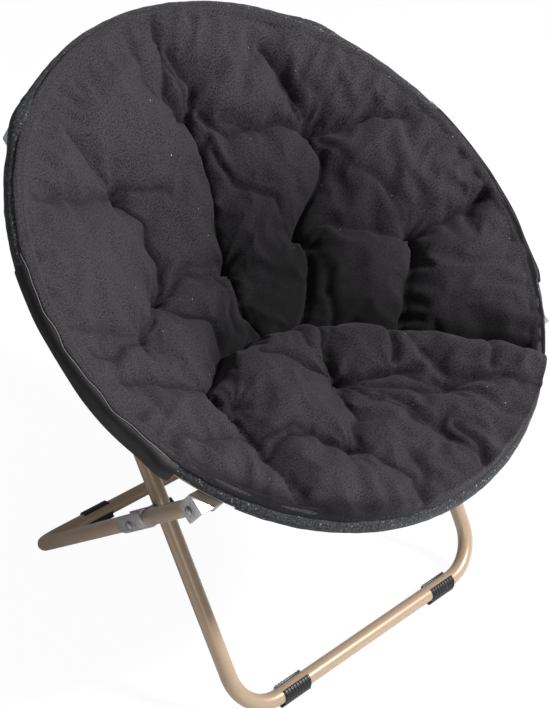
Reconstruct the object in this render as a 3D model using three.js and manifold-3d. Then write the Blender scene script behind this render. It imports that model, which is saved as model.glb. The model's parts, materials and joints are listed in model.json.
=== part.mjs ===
// A folding saucer chair: a quilted bowl hung in a round tube ring, on two crossed U legs.
// Millimetres, +Z up, +Y towards the back of the chair, +X to the sitter's left as seen from the front.
// The ring is two arcs hinged at both sides. The front leg is pinned to the back arc, the rear leg to
// the front arc, and the legs cross at a scissor pivot, so the chair folds as the front arc swings up.
import * as THREE from "three";
import { mergeVertices } from "three/addons/utils/BufferGeometryUtils.js";
import Module from "manifold-3d";

const wasm = await Module();
wasm.setup();

// Driving sizes

const degree = Math.PI / 180;
const clearance = 0.3; // between pieces that touch
const overrun = 4; // how far a cutter passes the face that it cuts
const sides = [-1, 1]; // left and right of the chair, as seen from the front
const sideName = (side) => (side < 0 ? "left" : "right");

const ring = {
  radius: 385,
  tubeRadius: 11,
  wall: 1.5,
  tilt: 36.8 * degree, // front edge low
  centreHeight: 571.7,
  stepAngle: 6 * degree,
};
const hinge = {
  ahead_share: 0.338, // of the ring's radius, from its centre towards the front
  below: 12, // the ring's plane
  tubeSetback: 37, // each tube's end from the hinge line
  plateThickness: 4,
  plateRadius: 9.5,
  plugLength: 16,
  plugRoom: 1, // for the ring's curve past the straight plug
  collarLength: 4,
  collarRadius: 9.5,
};
const frontLeg = {
  tubeRadius: 11.5,
  wall: 1.5,
  barAhead: 185.2, // floor bar, from the ring's centre
  barHalfWidth: 246.8,
  pivotInset: 7.5, // of its pins inside the ring tube's middle line
  pivotBack_share: 0.743, // of the ring's radius, from its centre towards the back
  pivotBelow: 40, // the ring's plane
  endPastPivot: 11,
  bendRadius: 64,
};
const rearLeg = {
  tubeRadius: 11,
  wall: 1.5,
  barBehind: 294.3,
  apart: 43.9, // the two legs' middle lines, across the chair where they cross
  pivotOutset: 12.5, // of its pins outside the ring tube's middle line
  pivotAhead_share: 0.605,
  pivotBelow: 32,
  endPastPivot: 14,
  bendRadius: 56,
};
const scissorBracket = {
  belowPivot: 40, // along the rear leg
  abovePivot: 43,
  thickness: 2,
  spigotLength: 26,
  spigotWall: 1.6,
  tubePastPivot: 30, // lower tube's end inside the bracket
  bushRadius: 9,
  studHeadRadius: 8,
  studHeadHeight: 3,
};
const ringBracket = { thickness: 2, halfLength: 14, belowPivot: 13, cornerRadius: 4, room: 1.6 };
const rivet = { radius: 3.2, headRadius: 6.2, headHeight: 2.6, hole: 3.6 };
const footClip = {
  wall: 1.6,
  ribHeight: 1.5,
  ribCount: 9,
  ribPitch: 5.4,
  rib_share: 0.55, // of the pitch
  opening: 76 * degree,
  soleHalfWidth: 9,
  soleLengthPast: 4,
  front_share: 0.632, // of the bar's half width, from its middle
  rear_share: 0.5,
  frontOpeningTurn: 14 * degree, // from straight up, towards the back
  rearOpeningTurn: -50 * degree,
};
const sleeve = { wall: 3, cutHalfLength: 27, hingeGap: 47 };
const quilt = {
  rimInset: 15.5, // of its edge inside the ring tube's middle line
  depth: 146,
  bowlPower: 1.6,
  rimRise: 5,
  rimThickness: 20,
  thickness: 46,
  puff: 7,
  tuftDepth: 20,
  tuftRadius: 27,
  tuft_share: 0.35, // of the thickness that a tuft takes in from below
  creaseDepth: 20,
  creaseWidth: 26,
  seatCentreAhead: 290,
  seatHalfWidth: 205,
  seatHalfLength: 232,
  legRoom: 2.5, // between the pad and the leg tubes that it drapes over
  radialSteps: 12,
  turnSteps: 44,
};
// Tufts of the cover: across the chair and towards the back, from the ring's centre.
// One that is off the middle line stands for a pair.
const tufts = [
  [0, 262],
  [182, 186],
  [0, 70],
  [141, 46],
  [258, -40],
  [0, -170],
  [102, -257],
];

const tubeSides = { outer: 14, inner: 8 };
const sleeveSides = 12;
const bendSteps = 6;

// Materials

const paint = new THREE.MeshStandardMaterial({ color: 0xb49e86, roughness: 0.38, metalness: 0.25 });
const zinc = new THREE.MeshStandardMaterial({ color: 0xa3a3a8, roughness: 0.35, metalness: 0.9 });
const steel = new THREE.MeshStandardMaterial({ color: 0x8d8d90, roughness: 0.3, metalness: 0.95 });
const plastic = new THREE.MeshStandardMaterial({ color: 0x17181b, roughness: 0.5, metalness: 0 });
const canvas = new THREE.MeshStandardMaterial({ color: 0x37343a, roughness: 0.95, metalness: 0 });
const webbing = new THREE.MeshStandardMaterial({ color: 0x1c1e23, roughness: 0.9, metalness: 0 });

// Booleans

function toSolid(geometry) {
  const bare = geometry.clone();
  bare.deleteAttribute("uv");
  bare.deleteAttribute("normal");
  const merged = mergeVertices(bare, 1e-3);
  return new wasm.Manifold(
    new wasm.Mesh({
      numProp: 3,
      vertProperties: merged.attributes.position.array,
      triVerts: new Uint32Array(merged.index.array),
    }),
  );
}

function toGeometry(solid) {
  const { vertProperties, triVerts } = solid.getMesh();
  return new THREE.BufferGeometry()
    .setAttribute("position", new THREE.BufferAttribute(new Float32Array(vertProperties), 3))
    .setIndex(new THREE.BufferAttribute(new Uint32Array(triVerts), 1));
}

function join(first, ...others) {
  return toGeometry(others.reduce((whole, next) => whole.add(toSolid(next)), toSolid(first)));
}

function cut(whole, ...cutters) {
  return toGeometry(cutters.reduce((left, next) => left.subtract(toSolid(next)), toSolid(whole)));
}

function named(name, geometry, material) {
  const mesh = new THREE.Mesh(geometry, material);
  mesh.name = name;
  return mesh;
}

// Tubes

// A path through stations, each a point and a direction, so that a straight run needs only its ends.
class Route extends THREE.Curve {
  constructor(stations) {
    super();
    this.stations = stations;
  }
  getUtoTmapping(share) {
    return share;
  }
  at(share) {
    return this.stations[Math.round(share * (this.stations.length - 1))];
  }
  getPoint(share) {
    return this.at(share).point.clone();
  }
  getTangent(share) {
    return this.at(share).direction.clone();
  }
}

function straightRoute(start, end) {
  const direction = end.clone().sub(start).normalize();
  return new Route([
    { point: start, direction },
    { point: end, direction },
  ]);
}

// A route through corners with every corner rounded to the bend radius.
function bentRoute(corners, bendRadius) {
  const towards = (a, b) => b.clone().sub(a).normalize();
  const first = { point: corners[0], direction: towards(corners[0], corners[1]) };
  const stations = [first];
  for (let i = 1; i < corners.length - 1; i++) {
    const entering = towards(corners[i - 1], corners[i]);
    const leaving = towards(corners[i], corners[i + 1]);
    const turn = entering.angleTo(leaving);
    const setback = bendRadius * Math.tan(turn / 2);
    const start = corners[i].clone().addScaledVector(entering, -setback);
    const axis = entering.clone().cross(leaving).normalize();
    const inward = axis.clone().cross(entering);
    const centre = start.clone().addScaledVector(inward, bendRadius);
    for (let step = 0; step <= bendSteps; step++) {
      const angle = (turn * step) / bendSteps;
      const spoke = inward.clone().negate().applyAxisAngle(axis, angle);
      stations.push({
        point: centre.clone().addScaledVector(spoke, bendRadius),
        direction: entering.clone().applyAxisAngle(axis, angle),
      });
    }
  }
  const last = corners.length - 1;
  stations.push({ point: corners[last], direction: towards(corners[last - 1], corners[last]) });
  return new Route(stations);
}

// An arc about the origin in the plane of the ring. Angle 0 is at +X and 90 degrees at the back.
function arcRoute(radius, from, to) {
  const steps = Math.max(1, Math.ceil(Math.abs(to - from) / ring.stepAngle));
  const stations = [];
  for (let step = 0; step <= steps; step++) {
    const angle = from + ((to - from) * step) / steps;
    stations.push({
      point: new THREE.Vector3(radius * Math.cos(angle), radius * Math.sin(angle), 0),
      direction: new THREE.Vector3(-Math.sin(angle), Math.cos(angle), 0),
    });
  }
  return new Route(stations);
}

function circlePath(kind, radius, count) {
  const points = [];
  for (let i = 0; i < count; i++) {
    const angle = (2 * Math.PI * i) / count;
    points.push(new THREE.Vector2(radius * Math.cos(angle), radius * Math.sin(angle)));
  }
  return new kind(points);
}

function tube(route, outerRadius, innerRadius, count = tubeSides.outer) {
  const section = circlePath(THREE.Shape, outerRadius, count);
  section.holes.push(circlePath(THREE.Path, innerRadius, tubeSides.inner));
  return new THREE.ExtrudeGeometry(section, {
    steps: route.stations.length - 1,
    extrudePath: route,
    bevelEnabled: false,
  });
}

// The widest round bar that a tube's faceted bore takes.
const boreRadius = ({ tubeRadius, wall }) =>
  (tubeRadius - wall) * Math.cos(Math.PI / tubeSides.inner) - clearance;

// Round bars and rivets

function bar(start, end, radius, count = tubeSides.outer) {
  const length = start.distanceTo(end);
  const turn = new THREE.Quaternion().setFromUnitVectors(
    new THREE.Vector3(0, 1, 0),
    end.clone().sub(start).normalize(),
  );
  return new THREE.CylinderGeometry(radius, radius, length, count)
    .applyQuaternion(turn)
    .translate(...start.clone().add(end).divideScalar(2).toArray());
}

// A rivet along X between two faces, with a domed head on each. Its middle is at its centre.
function rivetGeometry(centre, length, { headRadius, headHeight } = rivet) {
  const half = length / 2;
  const profile = [new THREE.Vector2(0, -half - headHeight)];
  const domeSteps = 3;
  for (let i = 1; i <= domeSteps; i++) {
    const angle = (i / domeSteps) * (Math.PI / 2);
    profile.push(
      new THREE.Vector2(headRadius * Math.sin(angle), -half - headHeight * Math.cos(angle)),
    );
  }
  profile.push(new THREE.Vector2(rivet.radius, -half));
  const upper = profile.map((point) => new THREE.Vector2(point.x, -point.y)).reverse();
  return new THREE.LatheGeometry([...profile, ...upper], 12)
    .rotateZ(Math.PI / 2)
    .translate(...centre.toArray());
}

const acrossHole = (centre, halfLength, radius = rivet.hole) =>
  bar(
    centre.clone().add(new THREE.Vector3(-halfLength, 0, 0)),
    centre.clone().add(new THREE.Vector3(halfLength, 0, 0)),
    radius,
    12,
  );

// A flat plate across the chair: an outline in the plane of Y and Z, thick along X.
function plateAcross(outline, thickness, centreX) {
  return new THREE.ExtrudeGeometry(outline, { depth: thickness, bevelEnabled: false, curveSegments: 4 })
    .translate(0, 0, -thickness / 2)
    .applyMatrix4(new THREE.Matrix4().makeBasis(unit.y, unit.z, unit.x))
    .translate(centreX, 0, 0);
}

const unit = {
  x: new THREE.Vector3(1, 0, 0),
  y: new THREE.Vector3(0, 1, 0),
  z: new THREE.Vector3(0, 0, 1),
};

// Places that the pieces share

const ringHalfWidthAt = (back, radius = ring.radius) => Math.sqrt(radius ** 2 - back ** 2);
const ringAngleAt = (back) => Math.asin(back / ring.radius);
// From the ring's own frame (across, towards the back in its plane, off its plane) to the chair's.
const ringToChair = new THREE.Matrix4()
  .makeTranslation(0, 0, ring.centreHeight)
  .multiply(new THREE.Matrix4().makeRotationX(ring.tilt));
const chairToRing = ringToChair.clone().invert();
const onRing = (across, back, off) => new THREE.Vector3(across, back, off).applyMatrix4(ringToChair);

const clipRadius = (leg) => leg.tubeRadius + clearance + footClip.wall + footClip.ribHeight;
const frontBarHeight = clipRadius(frontLeg);
const rearBarHeight = clipRadius(rearLeg);

const frontCorner = (side) =>
  new THREE.Vector3(side * frontLeg.barHalfWidth, -frontLeg.barAhead, frontBarHeight);
const rearBarMiddle = new THREE.Vector3(0, rearLeg.barBehind, rearBarHeight);
// Each leg's pins under the ring: half their spacing, and their place towards the back.
const backPinBack = frontLeg.pivotBack_share * ring.radius;
const backPinHalfWidth = ringHalfWidthAt(backPinBack) - frontLeg.pivotInset;
const frontPinBack = -rearLeg.pivotAhead_share * ring.radius;
const frontPinHalfWidth = ringHalfWidthAt(frontPinBack) + rearLeg.pivotOutset;
const backPivot = (side) => onRing(side * backPinHalfWidth, backPinBack, -frontLeg.pivotBelow);
const frontPivot = (side) => onRing(side * frontPinHalfWidth, frontPinBack, -rearLeg.pivotBelow);

// Where two lines cross as seen from the side, as a point on the first line.
function sideCrossing(a, b, c, d) {
  const p = b.clone().sub(a);
  const q = d.clone().sub(c);
  const r = c.clone().sub(a);
  const share = (r.y * q.z - r.z * q.y) / (p.y * q.z - p.z * q.y);
  return a.clone().addScaledVector(p, share);
}

const scissorOnFront = (side) =>
  sideCrossing(frontCorner(side), backPivot(side), rearBarMiddle, frontPivot(side));

// The rear leg spreads so that it passes outside the front leg where they cross.
const rearBarHalfWidth = (() => {
  const crossing = scissorOnFront(1);
  const top = frontPivot(1);
  const share = (crossing.y - rearBarMiddle.y) / (top.y - rearBarMiddle.y);
  return (crossing.x + rearLeg.apart - share * top.x) / (1 - share);
})();
const rearCorner = (side) => rearBarMiddle.clone().setX(side * rearBarHalfWidth);
const scissorOnRear = (side) =>
  sideCrossing(rearCorner(side), frontPivot(side), frontCorner(side), backPivot(side));

function pointPast(end, from, distance) {
  return end.clone().addScaledVector(end.clone().sub(from).normalize(), distance);
}

// Front leg: one bent tube with its two ends pinned to the back arc

function frontLegTube() {
  const [left, right] = sides.map((side) =>
    pointPast(backPivot(side), frontCorner(side), frontLeg.endPastPivot),
  );
  const route = bentRoute([left, frontCorner(-1), frontCorner(1), right], frontLeg.bendRadius);
  const whole = tube(route, frontLeg.tubeRadius, frontLeg.tubeRadius - frontLeg.wall);
  const reach = frontLeg.tubeRadius + overrun;
  const holes = sides.flatMap((side) => [
    acrossHole(backPivot(side), reach),
    acrossHole(scissorOnFront(side), reach),
  ]);
  return cut(whole, ...holes);
}

// Rear leg: a bent lower tube, two straight upper tubes, and a channel bracket that joins them

const rearDirection = (side) => frontPivot(side).sub(rearCorner(side)).normalize();
const alongRear = (side, distance) =>
  scissorOnRear(side).addScaledVector(rearDirection(side), distance);

function rearLegLowerTube() {
  const [left, right] = sides.map((side) => alongRear(side, scissorBracket.tubePastPivot));
  const route = bentRoute([left, rearCorner(-1), rearCorner(1), right], rearLeg.bendRadius);
  const whole = tube(route, rearLeg.tubeRadius, rearLeg.tubeRadius - rearLeg.wall);
  const reach = rearLeg.tubeRadius + overrun;
  return cut(whole, ...sides.map((side) => acrossHole(scissorOnRear(side), reach)));
}

function rearLegUpperTube(side) {
  const start = alongRear(side, scissorBracket.abovePivot + clearance);
  const end = pointPast(frontPivot(side), rearCorner(side), rearLeg.endPastPivot);
  const whole = tube(
    straightRoute(start, end),
    rearLeg.tubeRadius,
    rearLeg.tubeRadius - rearLeg.wall,
  );
  return cut(whole, acrossHole(frontPivot(side), rearLeg.tubeRadius + overrun));
}

// The channel lies round the rear leg with its open side up, in a frame whose Y runs along the leg.
function scissorChannel(side) {
  const { belowPivot, abovePivot, thickness, spigotLength, spigotWall } = scissorBracket;
  const inner = rearLeg.tubeRadius + clearance;
  const outer = inner + thickness;
  const profile = new THREE.Shape();
  profile.moveTo(-outer, outer - thickness);
  profile.lineTo(-outer, 0);
  profile.absarc(0, 0, outer, Math.PI, 2 * Math.PI, false);
  profile.lineTo(outer, outer - thickness);
  profile.lineTo(inner, outer - thickness);
  profile.lineTo(inner, 0);
  profile.absarc(0, 0, inner, 2 * Math.PI, Math.PI, true);
  profile.lineTo(-inner, outer - thickness);
  profile.closePath();
  const channel = new THREE.ExtrudeGeometry(profile, {
    depth: belowPivot + abovePivot,
    bevelEnabled: false,
    curveSegments: 7,
  }).translate(0, 0, -belowPivot);
  const spigotRadius = boreRadius(rearLeg);
  const plugStart = scissorBracket.tubePastPivot + clearance;
  const plug = bar(
    new THREE.Vector3(0, 0, plugStart),
    new THREE.Vector3(0, 0, abovePivot),
    inner + thickness / 2,
  );
  const spigot = bar(
    new THREE.Vector3(0, 0, plugStart),
    new THREE.Vector3(0, 0, abovePivot + spigotLength),
    spigotRadius,
  );
  const bore = bar(
    new THREE.Vector3(0, 0, plugStart - overrun),
    new THREE.Vector3(0, 0, abovePivot + spigotLength + overrun),
    spigotRadius - spigotWall,
  );
  const formed = cut(join(channel, plug, spigot), bore);
  const direction = rearDirection(side);
  const sideways = unit.x.clone().addScaledVector(direction, -unit.x.dot(direction)).normalize();
  const upwards = direction.clone().cross(sideways);
  formed.applyMatrix4(
    new THREE.Matrix4()
      .makeBasis(sideways, upwards, direction)
      .setPosition(scissorOnRear(side)),
  );
  return cut(formed, acrossHole(scissorOnRear(side), outer + overrun));
}

// How far the scissor pivot's pieces reach across the chair, on one side.
function scissorSpan(side) {
  const lean = Math.abs(rearDirection(side).x);
  const channelHalf = (rearLeg.tubeRadius + clearance + scissorBracket.thickness) / Math.sqrt(1 - lean ** 2);
  const leanRoom = scissorBracket.bushRadius * lean;
  const rearX = Math.abs(scissorOnRear(side).x);
  const frontX = Math.abs(scissorOnFront(side).x);
  return {
    lean,
    channelHalf,
    bushOuter: rearX - channelHalf - leanRoom - rivet.headHeight - 3 * clearance,
    bushInner: frontX + frontLeg.tubeRadius + clearance,
    frontInner: frontX - frontLeg.tubeRadius - clearance,
  };
}

const atX = (point, x) => new THREE.Vector3(x, point.y, point.z);

// The bush that keeps the two legs apart, on the front leg's outer face.
function scissorBush(side) {
  const { bushOuter, bushInner } = scissorSpan(side);
  const centre = scissorOnFront(side);
  const body = bar(
    atX(centre, side * bushInner),
    atX(centre, side * bushOuter),
    scissorBracket.bushRadius,
  );
  return cut(body, acrossHole(atX(centre, side * (bushInner + bushOuter) / 2), bushOuter - bushInner));
}

// The pivot's stud runs through the front leg and the bush, with a domed nut on the inner end.
function scissorStud(side) {
  const { bushOuter, frontInner } = scissorSpan(side);
  const centre = scissorOnFront(side);
  return bar(
    atX(centre, side * (frontInner - scissorBracket.studHeadHeight)),
    atX(centre, side * bushOuter),
    rivet.radius,
  );
}

function scissorNut(side) {
  const { frontInner } = scissorSpan(side);
  const centre = scissorOnFront(side);
  const body = new THREE.CylinderGeometry(
    scissorBracket.studHeadRadius,
    scissorBracket.studHeadRadius,
    scissorBracket.studHeadHeight,
    6,
  )
    .rotateZ(Math.PI / 2)
    .translate(side * (frontInner - scissorBracket.studHeadHeight / 2), centre.y, centre.z);
  return cut(body, acrossHole(atX(centre, side * frontInner), scissorBracket.studHeadHeight + overrun));
}

function scissorRivet(side) {
  const { channelHalf, lean } = scissorSpan(side);
  const headRoom = rivet.headRadius * lean + clearance;
  return rivetGeometry(scissorOnRear(side), 2 * (channelHalf + headRoom));
}

// Foot clips: a ribbed C that snaps round the floor bar, on a flat sole

function footClipGeometry(leg, centre, openingTurn) {
  const { wall, ribHeight, ribCount, ribPitch, rib_share, opening } = footClip;
  const inner = leg.tubeRadius + clearance;
  const barrel = inner + wall;
  const length = ribCount * ribPitch;
  const profile = [new THREE.Vector2(-length / 2, inner), new THREE.Vector2(-length / 2, barrel)];
  for (let i = 0; i < ribCount; i++) {
    const middle = (i + 0.5) * ribPitch - length / 2;
    const foot = (ribPitch * (1 + rib_share)) / 4;
    const crest = (ribPitch * rib_share) / 4;
    profile.push(new THREE.Vector2(middle - foot, barrel));
    profile.push(new THREE.Vector2(middle - crest, barrel + ribHeight));
    profile.push(new THREE.Vector2(middle + crest, barrel + ribHeight));
    profile.push(new THREE.Vector2(middle + foot, barrel));
  }
  profile.push(new THREE.Vector2(length / 2, barrel), new THREE.Vector2(length / 2, inner));
  profile.reverse();
  const steps = 12;
  const count = profile.length;
  const positions = [];
  const index = [];
  for (let step = 0; step <= steps; step++) {
    const angle = openingTurn + opening / 2 + ((2 * Math.PI - opening) * step) / steps;
    for (const point of profile) {
      positions.push(point.x, point.y * Math.sin(angle), point.y * Math.cos(angle));
    }
  }
  for (let step = 0; step < steps; step++) {
    for (let i = 0; i < count; i++) {
      const a = step * count + i;
      const b = step * count + ((i + 1) % count);
      index.push(a, a + count, b, b, a + count, b + count);
    }
  }
  const last = steps * count;
  for (const [a, b, c] of THREE.ShapeUtils.triangulateShape(profile, [])) {
    index.push(a, b, c);
    index.push(last + a, last + c, last + b);
  }
  const shell = new THREE.BufferGeometry()
    .setAttribute("position", new THREE.Float32BufferAttribute(positions, 3))
    .setIndex(index);
  const soleHeight = barrel + ribHeight - inner;
  const sole = new THREE.BoxGeometry(
    length + 2 * footClip.soleLengthPast,
    2 * footClip.soleHalfWidth,
    soleHeight,
  ).translate(0, 0, -inner - soleHeight / 2);
  const tubeRoom = bar(
    new THREE.Vector3(-length, 0, 0),
    new THREE.Vector3(length, 0, 0),
    inner,
    24,
  );
  return cut(join(shell, sole), tubeRoom).translate(...centre.toArray());
}

// Ring: a long back arc and a short front arc, with a hinge between them at each side

const hingeBack = -hinge.ahead_share * ring.radius;
const hingeHalfWidth = ringHalfWidthAt(hingeBack);

function ringArc(fromBack) {
  return fromBack
    ? arcRoute(
        ring.radius,
        ringAngleAt(hingeBack + hinge.tubeSetback),
        Math.PI - ringAngleAt(hingeBack + hinge.tubeSetback),
      )
    : arcRoute(
        ring.radius,
        Math.PI - ringAngleAt(hingeBack - hinge.tubeSetback),
        2 * Math.PI + ringAngleAt(hingeBack - hinge.tubeSetback),
      );
}

const ringTube = (isBack) => tube(ringArc(isBack), ring.tubeRadius, ring.tubeRadius - ring.wall);

// A hinge plate: a plug in the tube's end, a collar on it, and a plate that reaches to the pivot.
function hingePlate(side, isBack) {
  const away = isBack ? 1 : -1;
  const endBack = hingeBack + away * hinge.tubeSetback;
  const angle = side > 0 ? ringAngleAt(endBack) : Math.PI - ringAngleAt(endBack);
  const end = new THREE.Vector3(ring.radius * Math.cos(angle), ring.radius * Math.sin(angle), 0);
  const intoTube = new THREE.Vector3(-Math.sin(angle), Math.cos(angle), 0).multiplyScalar(side * away);
  const plug = bar(
    end.clone().addScaledVector(intoTube, -hinge.collarLength),
    end.clone().addScaledVector(intoTube, hinge.plugLength),
    boreRadius(ring) - hinge.plugRoom,
    10,
  );
  const collar = bar(
    end.clone().addScaledVector(intoTube, -hinge.collarLength - clearance),
    end.clone().addScaledVector(intoTube, -clearance),
    hinge.collarRadius,
  );
  const outline = new THREE.Shape();
  const { plateRadius } = hinge;
  const offset = (hinge.plateThickness + clearance) / 2;
  const plateX = side * (hingeHalfWidth + (isBack ? offset : -offset));
  const collarMiddle = end.clone().addScaledVector(intoTube, -clearance - hinge.collarLength / 2);
  const collarBack = collarMiddle.y + (away * hinge.collarLength) / 2;
  outline.moveTo(hingeBack, plateRadius - hinge.below);
  outline.absarc(hingeBack, -hinge.below, plateRadius, Math.PI / 2, -Math.PI / 2, !isBack);
  outline.lineTo(collarBack, -plateRadius);
  outline.lineTo(collarBack, plateRadius);
  outline.closePath();
  const plate = plateAcross(outline, hinge.plateThickness, plateX);
  const ear = new THREE.BoxGeometry(
    Math.abs(plateX - collarMiddle.x),
    hinge.collarLength,
    2 * plateRadius,
  ).translate((plateX + collarMiddle.x) / 2, collarMiddle.y, 0);
  const pivot = new THREE.Vector3(side * hingeHalfWidth, hingeBack, -hinge.below);
  return cut(join(plate, ear, collar, plug), acrossHole(pivot, hinge.plateThickness + overrun));
}

function hingeRivet(side) {
  const centre = new THREE.Vector3(side * hingeHalfWidth, hingeBack, -hinge.below);
  return rivetGeometry(centre, 2 * hinge.plateThickness + 3 * clearance);
}

// How far a clevis reaches to each side of its pivot, for a leg that leans across the chair.
const clevisReach = ({ legRadius, lean }) =>
  legRadius +
  lean * (ringBracket.halfLength + ringBracket.belowPivot) +
  ringBracket.room +
  ringBracket.thickness;

// A clevis under the ring tube: a web against the tube and two square cheeks beside the leg's end.
function ringClevis(side, leg) {
  const { half, back, below } = leg;
  const { thickness, halfLength, belowPivot, cornerRadius } = ringBracket;
  const reach = clevisReach(leg);
  const cheekX = reach - thickness / 2;
  const top = -ring.tubeRadius - clearance;
  const bottom = -below - belowPivot;
  const cheek = new THREE.Shape();
  cheek.moveTo(back - halfLength, top);
  cheek.lineTo(back - halfLength, bottom + cornerRadius);
  cheek.quadraticCurveTo(back - halfLength, bottom, back - halfLength + cornerRadius, bottom);
  cheek.lineTo(back + halfLength - cornerRadius, bottom);
  cheek.quadraticCurveTo(back + halfLength, bottom, back + halfLength, bottom + cornerRadius);
  cheek.lineTo(back + halfLength, top);
  cheek.closePath();
  const ringX = ringHalfWidthAt(back);
  const webInner = Math.min(half - reach, ringX);
  const webOuter = Math.max(half + reach, ringX);
  const web = new THREE.BoxGeometry(webOuter - webInner, 2 * halfLength, thickness).translate(
    (side * (webOuter + webInner)) / 2,
    back,
    top - thickness / 2,
  );
  const whole = join(
    web,
    plateAcross(cheek, thickness, side * (half - cheekX)),
    plateAcross(cheek, thickness, side * (half + cheekX)),
  );
  const pivot = new THREE.Vector3(side * half, back, -below);
  return {
    bracket: cut(whole, acrossHole(pivot, reach + overrun)),
    rivet: rivetGeometry(pivot, 2 * (reach + clearance)),
  };
}

const backPin = (side) => ({
  half: backPinHalfWidth,
  back: backPinBack,
  below: frontLeg.pivotBelow,
  legRadius: frontLeg.tubeRadius,
  lean: Math.abs(backPivot(side).sub(frontCorner(side)).normalize().x),
});
const frontPin = (side) => ({
  half: frontPinHalfWidth,
  back: frontPinBack,
  below: rearLeg.pivotBelow,
  legRadius: rearLeg.tubeRadius,
  lean: Math.abs(rearDirection(side).x),
});

// Sleeves of the cover round the ring tube. The tube is bare at the brackets and beside the hinges.

function sleevePiece(fromAngle, toAngle) {
  const chordRoom = ring.radius * (1 - Math.cos(ring.stepAngle / 2));
  const inner = ring.tubeRadius + clearance + chordRoom;
  const faceted = inner / Math.cos(Math.PI / tubeSides.inner);
  return tube(
    arcRoute(ring.radius, fromAngle, toAngle),
    inner + sleeve.wall,
    faceted,
    sleeveSides,
  );
}

function sleeves() {
  const half = sleeve.cutHalfLength / ring.radius;
  const hingeAngle = ringAngleAt(hingeBack);
  const backHinge = hingeAngle + sleeve.hingeGap / ring.radius;
  const clevisBack = ringAngleAt(backPinBack);
  const clevisFront = ringAngleAt(frontPinBack);
  const mirrored = (angle) => Math.PI - angle;
  return {
    back_sleeve_right: sleevePiece(backHinge, clevisBack - half),
    back_sleeve_top: sleevePiece(clevisBack + half, mirrored(clevisBack + half)),
    back_sleeve_left: sleevePiece(mirrored(clevisBack - half), mirrored(backHinge)),
    front_sleeve: sleevePiece(mirrored(clevisFront - half), 2 * Math.PI + clevisFront - half),
  };
}

// Quilted bowl: its upper side is a flared bowl with tufts and a crease round the seat

const quiltRadius = ring.radius - quilt.rimInset;

function bowlBase(across, back) {
  const share = Math.min(1, Math.hypot(across, back) / quiltRadius);
  return quilt.rimRise - (quilt.depth + quilt.rimRise) * (1 - share ** quilt.bowlPower);
}

// 0 on open padding, 1 in the middle of a tuft or on the crease.
function sewnDown(across, back) {
  let tuft = 0;
  for (const [x, y] of tufts) {
    const distance = Math.hypot(Math.abs(across) - x, back - y);
    tuft = Math.max(tuft, Math.exp(-((distance / quilt.tuftRadius) ** 2)));
  }
  const seatShare = Math.hypot(
    across / quilt.seatHalfWidth,
    (back + quilt.seatCentreAhead) / quilt.seatHalfLength,
  );
  const fromCrease = (seatShare - 1) * quilt.seatHalfWidth;
  const crease = Math.exp(-((fromCrease / quilt.creaseWidth) ** 2));
  return { tuft, crease };
}

function quiltTop(across, back) {
  const { tuft, crease } = sewnDown(across, back);
  const share = Math.min(1, Math.hypot(across, back) / quiltRadius);
  const crown = quilt.puff * (1 - share ** 4);
  return (
    bowlBase(across, back) +
    crown * (1 - Math.max(tuft, crease)) -
    Math.max(quilt.tuftDepth * tuft, quilt.creaseDepth * crease) * (1 - share ** 6)
  );
}

function quiltUnder(across, back) {
  const { tuft } = sewnDown(across, back);
  const share = Math.min(1, Math.hypot(across, back) / quiltRadius);
  const thick = quilt.rimThickness + (quilt.thickness - quilt.rimThickness) * (1 - share ** 4);
  return bowlBase(across, back) - thick * (1 - quilt.tuft_share * tuft);
}

function quiltSolid() {
  const { radialSteps, turnSteps } = quilt;
  const positions = [];
  const index = [];
  const layer = (height) => {
    const start = positions.length / 3;
    positions.push(0, 0, height(0, 0));
    for (let i = 1; i <= radialSteps; i++) {
      const radius = quiltRadius * (i / radialSteps) ** 0.9;
      for (let j = 0; j < turnSteps; j++) {
        const angle = (2 * Math.PI * j) / turnSteps;
        const across = radius * Math.cos(angle);
        const back = radius * Math.sin(angle);
        positions.push(across, back, height(across, back));
      }
    }
    return start;
  };
  const top = layer(quiltTop);
  const under = layer(quiltUnder);
  const at = (start, i, j) => (i === 0 ? start : start + 1 + (i - 1) * turnSteps + (j % turnSteps));
  for (let i = 0; i < radialSteps; i++) {
    for (let j = 0; j < turnSteps; j++) {
      const outer = [i + 1, j];
      const outerNext = [i + 1, j + 1];
      index.push(at(top, i, j), at(top, ...outer), at(top, ...outerNext));
      index.push(at(under, i, j), at(under, ...outerNext), at(under, ...outer));
      if (i > 0) {
        index.push(at(top, i, j), at(top, ...outerNext), at(top, i, j + 1));
        index.push(at(under, i, j), at(under, i, j + 1), at(under, ...outerNext));
      }
    }
  }
  for (let j = 0; j < turnSteps; j++) {
    const a = at(top, radialSteps, j);
    const b = at(top, radialSteps, j + 1);
    const c = at(under, radialSteps, j);
    const d = at(under, radialSteps, j + 1);
    index.push(a, c, b, b, c, d);
  }
  return new THREE.BufferGeometry()
    .setAttribute("position", new THREE.Float32BufferAttribute(positions, 3))
    .setIndex(index);
}

// Room under the padding for the clevis and the rivet heads that it lies over.
function underPadding(side, pin) {
  const halfWidth = clevisReach(pin) + rivet.headHeight + quilt.legRoom;
  const length = 2 * (ringBracket.halfLength + quilt.legRoom);
  const height = 2 * (pin.below + ringBracket.belowPivot);
  return new THREE.BoxGeometry(2 * halfWidth, length, height).translate(
    side * pin.half,
    pin.back,
    -ring.tubeRadius - height / 2 + quilt.legRoom,
  );
}

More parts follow.
